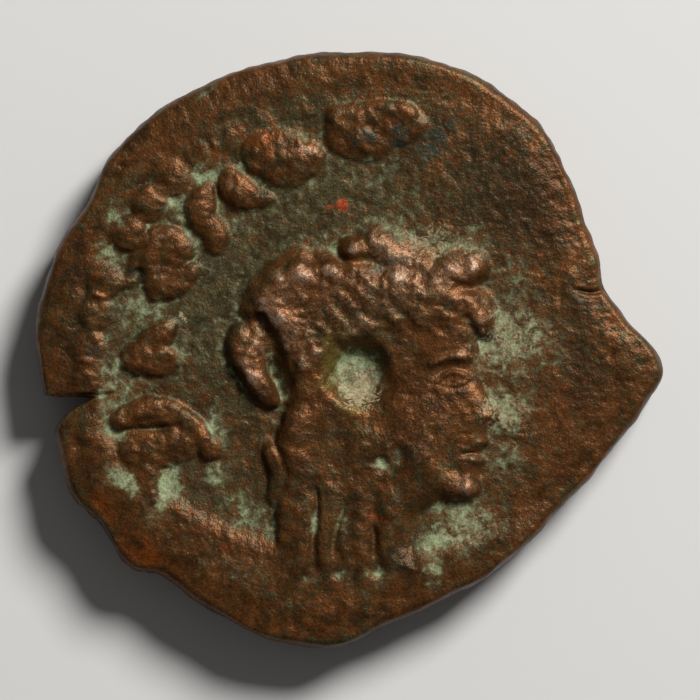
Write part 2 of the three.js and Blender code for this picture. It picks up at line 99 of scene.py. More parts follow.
# The flan: the cast blank that was struck
FIELD_HEIGHT = 2.2
REVERSE_DEPTH = 0.2
EDGE_HEIGHT = 1.15
EDGE_INSET = 0.38
EDGE_UNEVENNESS = 0.5
EDGE_UNEVEN_PITCH = 2.2
EDGE_FULLNESS = 0.65
EDGE_FALL_WIDTH = 1.3
EDGE_FALL_HEIGHT = 0.16
EDGE_WAVES = 23
EDGE_WAVE_HEIGHT = 0.025
EDGE_WAVE_PHASE = 0.4
EDGE_GRAIN = 0.045
EDGE_GRAIN_PITCH = 0.5

# Outline of the flan, as the bearing in degrees and the radius of the points that shape it
FLAN_OUTLINE = (
    (0, 10.1), (5, 9.34), (10, 8.92), (15, 8.64), (20, 8.78), (30, 8.92), (40, 9.32), (50, 9.75),
    (70, 10.0), (90, 9.88), (110, 9.93), (130, 10.16), (141, 10.2), (150, 9.97), (160, 10.21),
    (175, 10.42), (187, 10.24), (197, 10.18), (208, 10.38), (215, 10.1), (225, 10.22), (230, 9.77),
    (240, 9.76), (260, 9.96), (268, 9.8), (277, 9.24), (286, 8.9), (300, 8.76), (320, 8.7),
    (330, 8.91), (340, 9.34), (350, 9.98), (355.5, 10.42),
)

# The flan split at its edge when it was struck: steep on one side, torn open on the other
SPLIT_BEARING = 190.6
SPLIT_DEPTH = 1.5
SPLIT_STEEP_SIDE = 2.4
SPLIT_OPEN_SIDE = 5.5
CRACK = Stroke((8.6, 1.97), (7.35, 1.95), (0.1, 0.07), 0.35)

# Border of beads: the bearing of each in degrees, and how much of it is left
BORDER_CENTRE = (0.94, -1.27)
BORDER_RADIUS = 9.73
BEAD_RADIUS = 0.56
BEAD_HEIGHT = 0.26
BEADS_LEFT = (
    (115, 0.2), (121, 0.3), (127, 0.4), (134.4, 0.65), (141, 0.95), (148.1, 1),
    (158.6, 0.75), (164.7, 0.7), (171.6, 0.6), (177.5, 0.6), (184, 0.5),
)

# Metal that the die did not reach: outside the border, and low on the left
MARGIN_START = 0.1
MARGIN_WIDTH = 0.85
MARGIN_HEIGHT = 0.12
WEAK_STRIKE = Patch((0.5, 0.5), (9.5, 7.2), 0.17)
WEAK_STRIKE_RISE = (0.96, 1.06)
WEAK_STRIKE_BELOW = (0.0, -3.0)

# Worn strokes and lumps along the border
BORDER_STROKES = (
    Stroke((-7.5, -2.3), (-4.75, -3.2), (0.46, 0.4), 0.25, 0.7, STEEP),
    Stroke((-6.85, -3.35), (-6.6, -5.0), (0.7, 0.18), 0.24, 0, STEEP),
    Stroke((-6.4, 2.1), (-5.2, 2.6), (0.42, 0.3), 0.22, -0.15, STEEP),
    Stroke((-0.3, 7.6), (1.9, 7.85), (0.42, 0.3), 0.21, 0.15, STEEP),
)
BORDER_LUMPS = (
    Lump((-6.1, -3.25), (1.0, 0.62), 0.24, 8, STEEP),
    Lump((-6.3, 0.5), (0.68, 0.48), 0.24, 35, STEEP),
    Lump((-6.68, -0.28), (0.82, 0.6), 0.26, -12, STEEP),
    Lump((-6.1, 3.4), (0.82, 0.6), 0.26, -20, STEEP),
    Lump((-6.75, 2.75), (0.6, 0.5), 0.22, 40, STEEP),
    Lump((-5.95, 2.75), (0.6, 0.48), 0.2, 15, STEEP),
    Lump((-4.85, 4.65), (0.75, 0.45), 0.26, 80, STEEP),
    Lump((-4.55, 3.95), (0.75, 0.42), 0.24, 105, STEEP),
    Lump((-3.75, 5.3), (0.72, 0.46), 0.26, -50, STEEP),
    Lump((-3.2, 4.9), (0.6, 0.28), 0.2, 5, STEEP),
    Lump((-2.4, 6.35), (1.05, 0.85), 0.26, -35, STEEP),
    Lump((-1.65, 6.25), (0.75, 0.5), 0.29, 12, STEEP),
    Lump((0.4, 7.15), (1.1, 0.85), 0.25, 5, STEEP),
    Lump((1.6, 7.4), (0.85, 0.55), 0.17, 10, STEEP),
    Lump((-7.75, 2.3), (0.75, 0.34), 0.15, -8),
)

# The head, in head heights: forward from the line of the forehead and up from the chin
HEAD_FOREHEAD = 4.25
HEAD_CHIN = -5.1
HEAD_HEIGHT = 8.35
HEAD_RELIEF = 0.4
HEAD_ROUNDING = 0.65
HEAD_OUTLINE = (
    (-0.03, 0.84), (0, 0.7), (0.006, 0.6), (-0.006, 0.535), (0.04, 0.43), (0.088, 0.345),
    (0.036, 0.298), (0.042, 0.24), (0.014, 0.205), (0.03, 0.17), (0.002, 0.122), (0.018, 0.065),
    (-0.035, 0), (-0.16, 0), (-0.245, -0.06), (-0.265, -0.17), (-0.22, -0.27),
    (-0.34, -0.295), (-0.46, -0.27), (-0.535, -0.31), (-0.61, -0.28), (-0.76, -0.31),
    (-0.765, 0), (-0.76, 0.35), (-0.85, 0.62), (-0.83, 0.83), (-0.68, 0.95), (-0.48, 0.985),
    (-0.25, 0.95), (-0.09, 0.9),
)
HEAD_SAMPLES = 6
FACE_LUMPS = {
    "forehead": Lump((-0.13, 0.68), (0.16, 0.14), 0.08, 0, 2),
    "cheek": Lump((-0.2, 0.31), (0.2, 0.18), 0.15, 15, 2),
    "socket": Lump((-0.085, 0.515), (0.1, 0.065), -0.17, 0, 1.5),
    "eyeball": Lump((-0.092, 0.5), (0.052, 0.034), 0.13),
    "nostril": Lump((0.018, 0.338), (0.03, 0.024), 0.1),
    "upper lip": Lump((0.006, 0.236), (0.045, 0.02), 0.11, 12),
    "lower lip": Lump((-0.002, 0.176), (0.04, 0.021), 0.11, -8),
    "mouth corner": Lump((-0.056, 0.2), (0.02, 0.02), -0.07),
    "chin": Lump((-0.02, 0.07), (0.062, 0.056), 0.13, 0, 1.5),
    "throat": Lump((-0.36, -0.12), (0.24, 0.2), -0.17, 15, 1.5),
}
FACE_LINES = {
    "brow": Stroke((-0.02, 0.575), (-0.185, 0.558), (0.026, 0.02), 0.11, -0.018),
    "upper lid": Stroke((-0.038, 0.498), (-0.16, 0.488), (0.014, 0.012), 0.1, -0.032),
    "lower lid": Stroke((-0.046, 0.488), (-0.145, 0.482), (0.011, 0.009), 0.05, 0.016),
    "bridge": Stroke((-0.005, 0.53), (0.05, 0.37), (0.026, 0.044), 0.1),
    "mouth": Stroke((0.035, 0.206), (-0.05, 0.202), (0.01, 0.008), -0.1),
    "jaw": Stroke((-0.46, 0.24), (-0.09, 0.035), (0.07, 0.06), 0.09, 0.05),
}

# Hair: strands swept from the crown towards the face, between two curves of three points each
STRAND_COUNT = 9
STRAND_CROWN = ((-2.75, 0.5), (-3.3, 3.7), (3.0, 1.9))
STRAND_HAIRLINE = ((-1.6, -0.5), (-0.15, 1.45), (4.3, 1.0))
STRAND_BACK_WIDTH = (0.56, 0.46)
STRAND_FRONT_WIDTH = (0.42, 0.4)
STRAND_BOW = 0.1
STRAND_HEIGHT = 0.56
STRAND_LINE_PITCH = 0.24
STRAND_LINE_LENGTH = 1.3
STRAND_LINE_DEPTH = 0.038
STRAND_FILL = 1.7
STRAND_COMBING = 0.09
CREST = Stroke((0.75, 3.45), (2.7, 2.1), (0.42, 0.46), 0.4, 0.15)
HAIR_LUMPS = (
    Lump((-3.25, -0.5), (1.4, 0.5), 0.52, -64, STEEP),
    Lump((-2.35, 1.15), (1.05, 0.72), 0.56, 110, STEEP),
    Lump((-1.75, 2.3), (0.85, 0.52), 0.55, 25, STEEP),
    Lump((0.18, 3.3), (0.66, 0.52), 0.52, -35),
    Lump((-0.75, 2.65), (0.75, 0.5), 0.54, 5),
    Lump((1.75, 1.9), (1.7, 0.95), 0.45, -20),
    Lump((3.3, 2.4), (1.2, 0.8), 0.5, 22),
    Lump((4.0, 2.8), (0.65, 0.6), 0.38),
)

# Long locks that fall on the neck, each twisted like a cord
NECK_LOCKS = (
    Stroke((-2.5, -3.4), (-2.3, -4.9), (0.38, 0.32), 0.3, 0, STEEP),
    Stroke((-1.65, -2.2), (-1.85, -7.4), (0.54, 0.56), 0.5, 0, STEEP),
    Stroke((-0.75, -4.6), (-0.85, -7.3), (0.5, 0.26), 0.44, 0, STEEP),
    Stroke((0.2, -4.8), (0.35, -7.4), (0.5, 0.24), 0.42, 0, STEEP),
    Stroke((1.3, -4.8), (1.2, -7.1), (0.6, 0.3), 0.42, 0, STEEP),
)
LOCK_PITCH = 0.62
LOCK_SLANT = 0.5
LOCK_DEPTH = 0.03
LOCK_END = 0.5

# Grooves: the gap beside the knot of hair, and the partings between the neck locks
GROOVES = (
    Stroke((-3.05, 0.9), (-2.1, -1.4), (0.3, 0.36), 0.26, 0.1),
    Stroke((-1.15, -4.6), (-1.3, -7.1), (0.07, 0.24), 0.16, 0.06),
    Stroke((-0.35, -5.3), (-0.45, -7.2), (0.05, 0.3), 0.13, -0.05),
    Stroke((0.7, -5.7), (0.95, -7.3), (0.05, 0.34), 0.12, 0.04),
)

# Hollows in the obverse, each with the share of its half size that is level floor
HOLLOWS = (
    (Lump((0.28, -0.76), (1.15, 1.3), 0.62, 15), 0.42),
    (Lump((1.6, -3.45), (0.42, 0.32), 0.2, 25), 0.2),
    (Lump((1.1, -3.8), (0.45, 0.26), 0.12, -15), 0.2),
    (Lump((-7.0, 2.5), (0.3, 0.24), 0.16, 60), 0.2),
    (Lump((-8.9, -3.1), (0.3, 0.22), 0.1, 20), 0.2),
)
HOLLOW_LIP = 1.12
HOLLOW_ROUGHNESS = ((0.6, 0.1), (0.26, 0.08))

# The reverse: an eight-rayed star inside a plain margin, worn flat on the resting plane
STAR_RAYS = 8
STAR_INNER = 2.6
STAR_OUTER = 5.9
STAR_WIDTH = (0.95, 0.5)
STAR_TURN = 9
STAR_HEIGHT = 0.26
STAR_HUB_RADIUS = 1.4
STAR_HUB_SLOPE = 0.9
REVERSE_MARGIN_START = 7.3
REVERSE_MARGIN_WIDTH = 1.2
REVERSE_MARGIN_HEIGHT = 0.17

# Unevenness: how far the struck forms waver, and how deep corrosion has eaten, at each width of feature
HAND_REACH = 0.06
HAND_PITCH = 2.3
HAND_SLANT = (0.4, -0.6)
HAND_PHASE = 2.0
WAVER = ((1.3, 0.1), (0.45, 0.035))
BEAD_WAVER = ((0.45, 0.035),)
FACE_WAVER = ((1.3, 0.03),)
HAIR_WAVER = ((1.2, 0.12), (0.5, 0.05))
CORROSION = ((1.8, 0.025), (0.7, 0.02), (0.32, 0.02), (0.18, 0.012))
HAIR_CORROSION = ((0.8, 0.035), (0.38, 0.038), (0.2, 0.034))
HAIR_CORROSION_RISE = (0.1, 0.4)
MARK_CORROSION = ((0.75, 0.03), (0.36, 0.034), (0.2, 0.028))
MARK_CORROSION_RISE = (0.02, 0.15)
PIT_PITCH = 0.42
PIT_DEPTH = 0.03
PIT_RISE = (0.45, 0.8)
REVERSE_SHIFT = 31.0
LATTICE = 64
NOISE_GAIN = 1.5

# Seeds, so that every run draws the same unevenness
SEEDS = {
    "struck": 1, "face": 3, "reverse": 5, "hair": 7, "corrosion": 21, "pits": 31, "hollows": 37,
    "hair corrosion": 41, "strand lines": 44, "mark corrosion": 47, "edge grain": 51, "edge inset": 53,
    "verdigris": 61, "red": 63, "rust": 65, "blue_green": 67, "wear_and_highlight": 69, "edge stains": 71,
    "reverse stains": 73, "chalk": 75, "golden": 77, "tarnish": 79,
}
CROSSWAYS_SEED = 10

# Mesh: grid cells across each face, and the rows of the rounded edge in degrees from the obverse down
OBVERSE_CELLS = 256
REVERSE_CELLS = OBVERSE_CELLS // 2
GRID_TURN = math.radians(-0.65)
CENTRE_RADIUS = 9.4
GRID_EASE = 4
EDGE_ANGLES = (6, 16, 28, 42, 58, 76, 96, 116, 136, 156)

# How far stains spread past their half sizes, and how ragged their edges are
STAIN_SPREAD = 2.0
STAIN_WAVER = ((0.9, 0.2), (0.35, 0.1))

# Verdigris that lies in the low places of the obverse
VERDIGRIS = (
    Patch((-7.5, -4.3), (0.52, 0.32), 0.9, -45),
    Patch((-6.15, -4.7), (0.8, 0.4), 0.92, 65),
    Patch((-7.9, -2.3), (0.35, 0.75), 0.6, 10),
    Patch((-4.45, -2.5), (0.3, 0.65), 0.6),
    Patch((-4.4, -4.15), (0.45, 0.4), 0.65),
    Patch((-3.3, -5.4), (0.85, 0.5), 0.55, -25),
    Patch((-3.8, -7.1), (1.1, 0.5), 0.3, -20),
    Patch((-4.85, 5.84), (0.5, 0.35), 0.6),
    Patch((-5.76, 4.77), (0.4, 0.4), 0.6),
    Patch((-7.74, 4.3), (0.3, 0.5), 0.5),
    Patch((-7.82, 3.2), (0.5, 0.3), 0.5),
    Patch((-6.83, 1.3), (0.75, 0.55), 0.6),
    Patch((-5.5, -0.1), (0.35, 0.5), 0.45),
    Patch((-7.6, -0.9), (0.6, 0.7), 0.6),
    Patch((0.84, 5.84), (0.95, 0.65), 0.35),
    Patch((5.4, 0.3), (1.2, 1.0), 0.64),
    Patch((5.4, -1.9), (0.7, 0.7), 0.56),
    Patch((5.2, -3.5), (0.5, 0.4), 0.45),
    Patch((3.73, -5.79), (1.0, 0.8), 0.6, 30),
    Patch((2.75, -6.7), (0.42, 0.8), 0.85),
    Patch((3.65, 3.5), (0.8, 0.5), 0.5),
    Patch((5.46, 2.05), (0.6, 1.1), 0.45),
    Patch((1.5, 4.0), (1.4, 0.6), 0.4),
    Patch((0.2, -0.75), (0.6, 0.65), 0.7),
    Patch((1.15, -3.7), (0.38, 0.28), 0.6),
    Patch((-1.25, -5.5), (0.14, 0.5), 0.7),
    Patch((-0.35, -5.7), (0.2, 0.45), 0.55),
    Patch((-0.35, -7.25), (0.32, 0.3), 0.55),
    Patch((0.85, -7.4), (0.4, 0.22), 0.5),
    Patch((-1.5, -7.6), (0.35, 0.2), 0.45),
)

# Chalky deposits, golden olive on the walls of the deep hollow, and places rubbed bright with painted
# highlights, pale where the key light catches crests and ridges
CHALK = (
    Patch((0.3, -1.2), (0.55, 0.55), 0.75, 10),
    Patch((-5.45, 1.05), (0.06, 0.09), 1.2, 30),
    Patch((5.2, 0.3), (0.9, 0.7), 0.42, 40),
    Patch((3.9, -5.9), (0.7, 0.5), 0.34, 30),
    Patch((5.0, -2.0), (0.6, 0.5), 0.4),
    Patch((2.7, 3.6), (1.1, 0.4), 0.42, -10),
)
GOLDEN = (
    Patch((-0.45, -0.6), (0.45, 0.75), 0.8),
    Patch((0.1, -1.8), (0.7, 0.35), 0.45, -20),
)
PAINTED_HIGHLIGHTS = (
    Patch((1.5, 3.05), (0.8, 0.4), 0.7, -38),
    Patch((3.5, 2.8), (0.7, 0.4), 0.5, 25),
    Patch((-3.0, 0.1), (0.55, 0.14), 0.6, -55),
    Patch((-1.55, 6.6), (0.4, 0.12), 0.8),
    Patch((-6.2, 3.75), (0.25, 0.16), 0.6),
    Patch((-3.85, 5.45), (0.25, 0.14), 0.5, -45),
)

# Darker tarnish, copper oxide in small red grains, rusty brown along the rim, and dark blue-green stains
TARNISH = (
    Patch((5.6, 5.0), (1.7, 1.3), 0.9, -45),
    Patch((7.6, 0.6), (0.9, 1.6), 0.6),
    Patch((-9.1, 1.2), (0.4, 1.9), 0.8, -5),
    Patch((1.6, 6.6), (0.9, 0.7), 0.6),
    Patch((1.8, -6.8), (0.5, 0.4), 0.9),
    Patch((-1.5, 3.9), (1.6, 0.6), 0.4, 20),
    Patch((-4.0, 1.5), (0.8, 1.2), 0.4),
)
RED_GRAINS = (
    Patch((-0.18, 4.67), (0.12, 0.17), 1.2, 20),
    Patch((-0.5, 4.67), (0.07, 0.09), 0.8),
    Patch((0.78, 9.05), (0.07, 0.05), 0.6),
    Patch((6.29, -1.67), (0.1, 0.12), 0.5),
    Patch((-4.0, -6.45), (0.2, 0.14), 0.4),
    Patch((0.9, -5.55), (0.36, 0.1), 0.4, -20),
)
RUST = (
    Patch((-6.5, -7.0), (0.9, 0.4), 0.8, -42),
    Patch((-8.35, -5.2), (0.35, 0.7), 0.6, 25),
    Patch((-3.2, 6.9), (1.6, 0.6), 0.4, 20),
    Patch((-1.0, -8.9), (2.5, 0.6), 0.4),
    Patch((6.6, 2.2), (1.0, 0.6), 0.4),
    Patch((-8.6, 1.8), (0.5, 1.6), 0.4),
)
BLUE_GREEN = (
    Patch((2.75, 6.85), (0.4, 0.7), 0.6, -25),
    Patch((-8.5, -0.1), (0.25, 0.4), 0.5),
    Patch((0.35, 7.0), (0.4, 0.3), 0.6),
    Patch((1.7, 7.1), (0.25, 0.3), 0.6),
    Patch((-5.1, 0.9), (0.6, 0.3), 0.4),
    Patch((-7.0, 2.5), (0.25, 0.2), 0.5),
    Patch((1.1, 2.75), (0.3, 0.25), 0.4),
    Patch((1.7, -3.4), (0.35, 0.3), 0.45),
)

# Layers that come from their patches alone
PLAIN_STAINS = {
    "red": RED_GRAINS,
    "rust": RUST,
    "tarnish": TARNISH,
    "blue_green": BLUE_GREEN,
    "chalk": CHALK,
    "golden": GOLDEN,
}

# Where layers settle on the obverse: amounts, and ranges over which each grows from none to full
STANDING_WIDTH = 0.5
FIELD_FADE = (0.02, 0.16)
FIELD_EDGE = (10.0, 6.5)
FIELD_RIGHT = (7.5, 0.5)
FIELD_LOW = (-3.5, 0.5)
FIELD_LOW_SHARE = 0.4
FIELD_VERDIGRIS = 0.24
SHELTER_FADE = (-0.02, 0.1)
NOOK_VERDIGRIS = 0.4
NOOK_RISE = (0.0, 0.2)
CREST_WEAR = 0.6
CREST_RISE = (0.03, 0.2)
TOP_WEAR = 0.55
TOP_RISE = (0.38, 0.66)
BARE_OLIVE = 0.3
FIELD_OLIVE = 0.4

# The same for the edge and the reverse, where slow noise swings the amounts
EDGE_STAIN_PITCH = 1.7
EDGE_VERDIGRIS = 0.3
EDGE_VERDIGRIS_RISE = (0.2, 0.7)
EDGE_OLIVE = 0.35
EDGE_OLIVE_SWING = 0.25
REVERSE_STAIN_PITCH = 2.6
REVERSE_LOW_RISE = (0.04, REVERSE_DEPTH)
REVERSE_VERDIGRIS = 0.3
REVERSE_VERDIGRIS_SWING = 0.5
REVERSE_WEAR = 0.6

# Colours of the bare metal and of each layer on it
DARK_BROWN = colour(0.048, 0.019, 0.004)
RED_BROWN = colour(0.125, 0.045, 0.011)
DARK_OLIVE = colour(0.036, 0.026, 0.009)
OLIVE = colour(0.078, 0.056, 0.021)
WARM_COPPER = colour(0.27, 0.135, 0.07)
# Pale copper of the most worn places, also painted as highlights where the key light catches crests and
# ridges
PALE_COPPER_WEAR_AND_HIGHLIGHT = colour(0.36, 0.26, 0.185)
PALE_GREEN = colour(0.245, 0.28, 0.15)
DULL_GREEN = colour(0.1, 0.092, 0.042)
CHALK_BEIGE = colour(0.27, 0.22, 0.125)
GOLDEN_OLIVE = colour(0.125, 0.093, 0.02)
RED = colour(0.3, 0.05, 0.015)
RUST_BROWN = colour(0.19, 0.04, 0.003)
DARK_TARNISH = colour(0.03, 0.017, 0.006)
DARK_TEAL = colour(0.026, 0.034, 0.024)

# Noise in the material, and the range in which most of its values lie
SPARKLE = Texture(0.06, 2, 1)
GRAIN = Texture(0.13, 3, 2)
MOTTLE = Texture(0.6, 5, 3)
CLOUD = Texture(2.4, 3, 4)
FLAKES = Texture(0.28, 6, 5, 0.4)
FIBRES = Texture(0.3, 5, 6, 2.5)
NOISE_MIDDLE = (0.3, 0.7)

# How layers are broken up: how far the noise shifts an amount, and how soft the flakes' edges are
PLAIN_BREAK = (1.4, 0.3)
OLIVE_BREAK = (2.2, 0.35)
TARNISH_BREAK = (1.6, 0.45)
VERDIGRIS_BREAK = (1.8, 0.45)
CHALK_BREAK = (2.4, 0.3)

# Amount of a layer below which it thins out to nothing
TRACE = 0.25

# How far each layer covers what is under it
TARNISH_COVER = 0.7
WEAR_AND_HIGHLIGHT_COVER = 0.5
RUST_COVER = 0.6
SPECK_COVER = 0.7
VEIL_COVER = 0.25

# Changes of tint: drift of the olive, wear and painted highlights that turn copper pale, pale specks, red
# grains and speckle
CLOUD_SWING = 0.2
BRIGHT_FROM = 0.25
SPECK_PALENESS = (0.3, 1.0)
RED_RISE = (0.1, 0.9)
SPECKLE = (0.65, 1.35)

# Gloss of the bare metal and of the crust, and the finest relief
BARE_METALLIC = 0.45
BARE_ROUGHNESS = 0.42
CRUST_ROUGHNESS = 0.85
SPECULAR_LEVEL = 0.2
SPARKLE_BUMP = 0.4
BUMP_DEPTH = 0.034

# Stage: a pale floor, one soft key light from the upper right, a fainter fill, and the camera
FLOOR_HALF = 400.0
FLOOR_COLOUR = colour(0.62, 0.61, 0.59)
FLOOR_ROUGHNESS = 0.9
KEY_BEARING = 52.0
KEY_ELEVATION = 40.0
KEY_DISTANCE = 300.0
KEY_SIZE = 110.0
KEY_POWER = 1.42
WORLD_COLOUR = colour(1, 1, 1)
WORLD_STRENGTH = 0.1
CAMERA_DISTANCE = 250.0
CAMERA_NEAR = 1.0
FRAME_WIDTH = 23.1


def clamp01(value):
    return np.clip(value, 0.0, 1.0)


def mix(a, b, share):
    return a + (b - a) * share


def smooth_step(start, end, value):
    share = clamp01((value - start) / (end - start))
    return share * share * (3 - 2 * share)


def soft_max(a, b, softness=VALLEY_SOFTNESS):
    """The greater of two heights above the field, with a soft valley where they meet."""
    limit = np.maximum(np.minimum(softness, np.minimum(a, b)), LEAST_VALLEY)
    share = clamp01(0.5 + 0.5 * (a - b) / limit)
    return mix(b, a, share) + limit * share * (1 - share)


def dome(reach, softness=BUMP_SOFTNESS):
    """Height of a worn bump, from 1 in the middle to 0 at its foot."""
    return np.power(clamp01(1 - reach * reach), softness)


def lattice_noise(x, y, pitch, seed):
    """Smooth noise, about -1 to 1, with features of the given width."""
    angles = np.random.default_rng(seed).uniform(0, 2 * math.pi, (LATTICE, LATTICE))
    column = np.floor(x / pitch).astype(int)
    row = np.floor(y / pitch).astype(int)
    along = x / pitch - column
    up = y / pitch - row

    def pull(right, above):
        angle = angles[(row + above) % LATTICE, (column + right) % LATTICE]
        return np.cos(angle) * (along - right) + np.sin(angle) * (up - above)

    across = smooth_step(0, 1, along)
    low = mix(pull(0, 0), pull(1, 0), across)
    high = mix(pull(0, 1), pull(1, 1), across)
    return NOISE_GAIN * mix(low, high, smooth_step(0, 1, up))


def layered_noise(x, y, layers, seed):
    """Noise added up over layers of (feature width, height), each with a seed of its own."""
    total = 0
    for step, (pitch, height) in enumerate(layers):
        total = total + height * lattice_noise(x, y, pitch, seed + step)
    return total


def ellipse_reach(x, y, form):
    """Distance from the middle of a turned ellipse, 1 on its foot line."""
    cosine = math.cos(math.radians(form.turn))
    sine = math.sin(math.radians(form.turn))
    along = (x - form.at[0]) * cosine + (y - form.at[1]) * sine
    across = (y - form.at[1]) * cosine - (x - form.at[0]) * sine
    return np.hypot(along / form.size[0], across / form.size[1])


def lump_height(x, y, lump):
    return lump.height * dome(ellipse_reach(x, y, lump) / FOOT_SPREAD, lump.softness)


def beside_line(x, y, stroke):
    """Where a point lies beside a bowed line: share along, distance aside and away, and the length."""
    length = math.dist(stroke.start, stroke.end)
    ahead_x = (stroke.end[0] - stroke.start[0]) / length
    ahead_y = (stroke.end[1] - stroke.start[1]) / length
    along = (x - stroke.start[0]) * ahead_x + (y - stroke.start[1]) * ahead_y
    across = (y - stroke.start[1]) * ahead_x - (x - stroke.start[0]) * ahead_y
    share = clamp01(along / length)
    aside = across - 4 * stroke.bow * share * (1 - share)
    away = np.hypot(along - share * length, aside)
    return share, aside, away, length


def ridge(x, y, stroke):
    share, _, away, _ = beside_line(x, y, stroke)
    return stroke.height * dome(away / (FOOT_SPREAD * mix(*stroke.width, share)), stroke.softness)


def smooth_outline(bearing):
    """Cubic through the outline points, for bearings from 0 to 360 degrees."""
    degrees, radii = np.array(FLAN_OUTLINE, float).T
    degrees = np.concatenate((degrees[-2:] - 360, degrees, degrees[:2] + 360))
    radii = np.concatenate((radii[-2:], radii, radii[:2]))
    slopes = np.gradient(radii, degrees)
    slopes[1:-1] = (radii[2:] - radii[:-2]) / (degrees[2:] - degrees[:-2])
    start = np.searchsorted(degrees, bearing, side="right") - 1
    span = degrees[start + 1] - degrees[start]
    share = (bearing - degrees[start]) / span
    rise = radii[start + 1] - radii[start]
    slope_in = slopes[start] * span
    slope_out = slopes[start + 1] * span
    bend = 3 * rise - 2 * slope_in - slope_out
    twist = slope_in + slope_out - 2 * rise
    return radii[start] + share * (slope_in + share * (bend + share * twist))


def split_depth(bearing):
    turn = bearing - SPLIT_BEARING
    steep = 1 - smooth_step(0, SPLIT_STEEP_SIDE, -turn)
    torn = np.square(clamp01(1 - turn / SPLIT_OPEN_SIDE))
    return SPLIT_DEPTH * np.where(turn < 0, steep, torn)


def flan_radius(angle):
    """Radius of the flan at its widest line."""
    bearing = np.degrees(angle) % 360
    wave = EDGE_WAVE_HEIGHT * np.sin(EDGE_WAVES * angle + EDGE_WAVE_PHASE)
    return smooth_outline(bearing) - split_depth(bearing) + wave


def edge_inset(angle):
    """How far the rounding of the edge reaches in from the outline."""
    around = CENTRE_RADIUS * np.cos(angle), CENTRE_RADIUS * np.sin(angle)
    uneven = lattice_noise(*around, EDGE_UNEVEN_PITCH, SEEDS["edge inset"])
    return EDGE_INSET * (1 + EDGE_UNEVENNESS * uneven)


def on_head(place):
    """From head heights to the frame of the coin."""
    return (HEAD_FOREHEAD + place[0] * HEAD_HEIGHT, HEAD_CHIN + place[1] * HEAD_HEIGHT)


def lump_on_head(lump):
    return lump._replace(at=on_head(lump.at), size=tuple(share * HEAD_HEIGHT for share in lump.size))


def stroke_on_head(stroke):
    width = tuple(share * HEAD_HEIGHT for share in stroke.width)
    bow = stroke.bow * HEAD_HEIGHT
    return stroke._replace(start=on_head(stroke.start), end=on_head(stroke.end), width=width, bow=bow)


def closed_curve(points, samples):
    """Smooth closed line through points, with a number of samples after each."""
    points = np.array(points)
    before = np.roll(points, 1, axis=0)[:, None]
    after = np.roll(points, -1, axis=0)[:, None]
    beyond = np.roll(points, -2, axis=0)[:, None]
    share = np.linspace(0, 1, samples, endpoint=False)[None, :, None]
    start = points[:, None]
    slope_in = (after - before) / 2
    slope_out = (beyond - start) / 2
    bend = 3 * (after - start) - 2 * slope_in - slope_out
    twist = slope_in + slope_out - 2 * (after - start)
    return (start + share * (slope_in + share * (bend + share * twist))).reshape(-1, 2)


def depth_inside(x, y, outline):
    """Signed distance into a closed outline, positive inside."""
    nearest = np.full(x.shape, np.inf)
    inside = np.zeros(x.shape, bool)
    for (ax, ay), (bx, by) in zip(outline, np.roll(outline, 1, axis=0)):
        span = (bx - ax) ** 2 + (by - ay) ** 2
        share = clamp01(((x - ax) * (bx - ax) + (y - ay) * (by - ay)) / span)
        nearest = np.minimum(nearest, np.hypot(x - mix(ax, bx, share), y - mix(ay, by, share)))
        if ay != by:
            crosses = (ay > y) != (by > y)
            inside ^= crosses & (x < mix(ax, bx, (y - ay) / (by - ay)))
    return np.where(inside, nearest, -nearest)


def face_and_neck(x, y):
    depth = depth_inside(x, y, closed_curve([on_head(place) for place in HEAD_OUTLINE], HEAD_SAMPLES))
    height = HEAD_RELIEF + sum(lump_height(x, y, lump_on_head(form)) for form in FACE_LUMPS.values())
    height = height + sum(ridge(x, y, stroke_on_head(form)) for form in FACE_LINES.values())
    return np.where(depth > 0, height * dome(1 - clamp01(depth / HEAD_ROUNDING), 1), 0)


def on_curve(points, share):
    """Point on the curve that starts and ends at two points and is drawn towards a third between them."""
    start, pull, end = np.array(points)
    return tuple(mix(mix(start, pull, share), mix(pull, end, share), share))


def strand(index):
    share = index / (STRAND_COUNT - 1)
    crown = on_curve(STRAND_CROWN, share)
    hairline = on_curve(STRAND_HAIRLINE, share)
    width = tuple(mix(back, front, share) for back, front in zip(STRAND_BACK_WIDTH, STRAND_FRONT_WIDTH))
    return Stroke(crown, hairline, width, STRAND_HEIGHT, STRAND_BOW)


def widened(stroke, factor):
    return stroke._replace(width=tuple(factor * half for half in stroke.width))


def strand_height(x, y, stroke):
    """One strand, with finer uneven lines along it, in a mass that fills the gaps beside it."""
    share, aside, _, length = beside_line(x, y, stroke)
    combed = ridge(x, y, stroke)
    along = share * length * STRAND_LINE_PITCH / STRAND_LINE_LENGTH
    lines = lattice_noise(along, aside + stroke.start[0], STRAND_LINE_PITCH, SEEDS["strand lines"])
    mass = ridge(x, y, widened(stroke, STRAND_FILL))
    depth = STRAND_LINE_DEPTH * lines * combed / stroke.height
    return np.maximum(mix(mass, combed, STRAND_COMBING) + depth, 0)


def lock_height(x, y, lock):
    share, aside, _, length = beside_line(x, y, lock)
    turns = (share * length - LOCK_SLANT * aside) / LOCK_PITCH
    return ridge(x, y, lock) * mix(1, LOCK_END, share**2) * (1 + LOCK_DEPTH * np.cos(2 * math.pi * turns))


def hair(x, y):
    forms = [strand_height(x, y, strand(index)) for index in range(STRAND_COUNT)]
    forms.append(strand_height(x, y, CREST))
    forms += [lump_height(x, y, lump) for lump in HAIR_LUMPS]
    height = np.zeros(x.shape)
    for form in forms:
        height = soft_max(height, form, HAIR_SOFTNESS)
    rough = layered_noise(x, y, HAIR_CORROSION, SEEDS["hair corrosion"])
    height = np.maximum(height + rough * smooth_step(*HAIR_CORROSION_RISE, height), 0)
    for lock in NECK_LOCKS:
        height = soft_max(height, lock_height(x, y, lock))
    return height


def on_circle(radius, angle):
    return radius * math.cos(angle), radius * math.sin(angle)


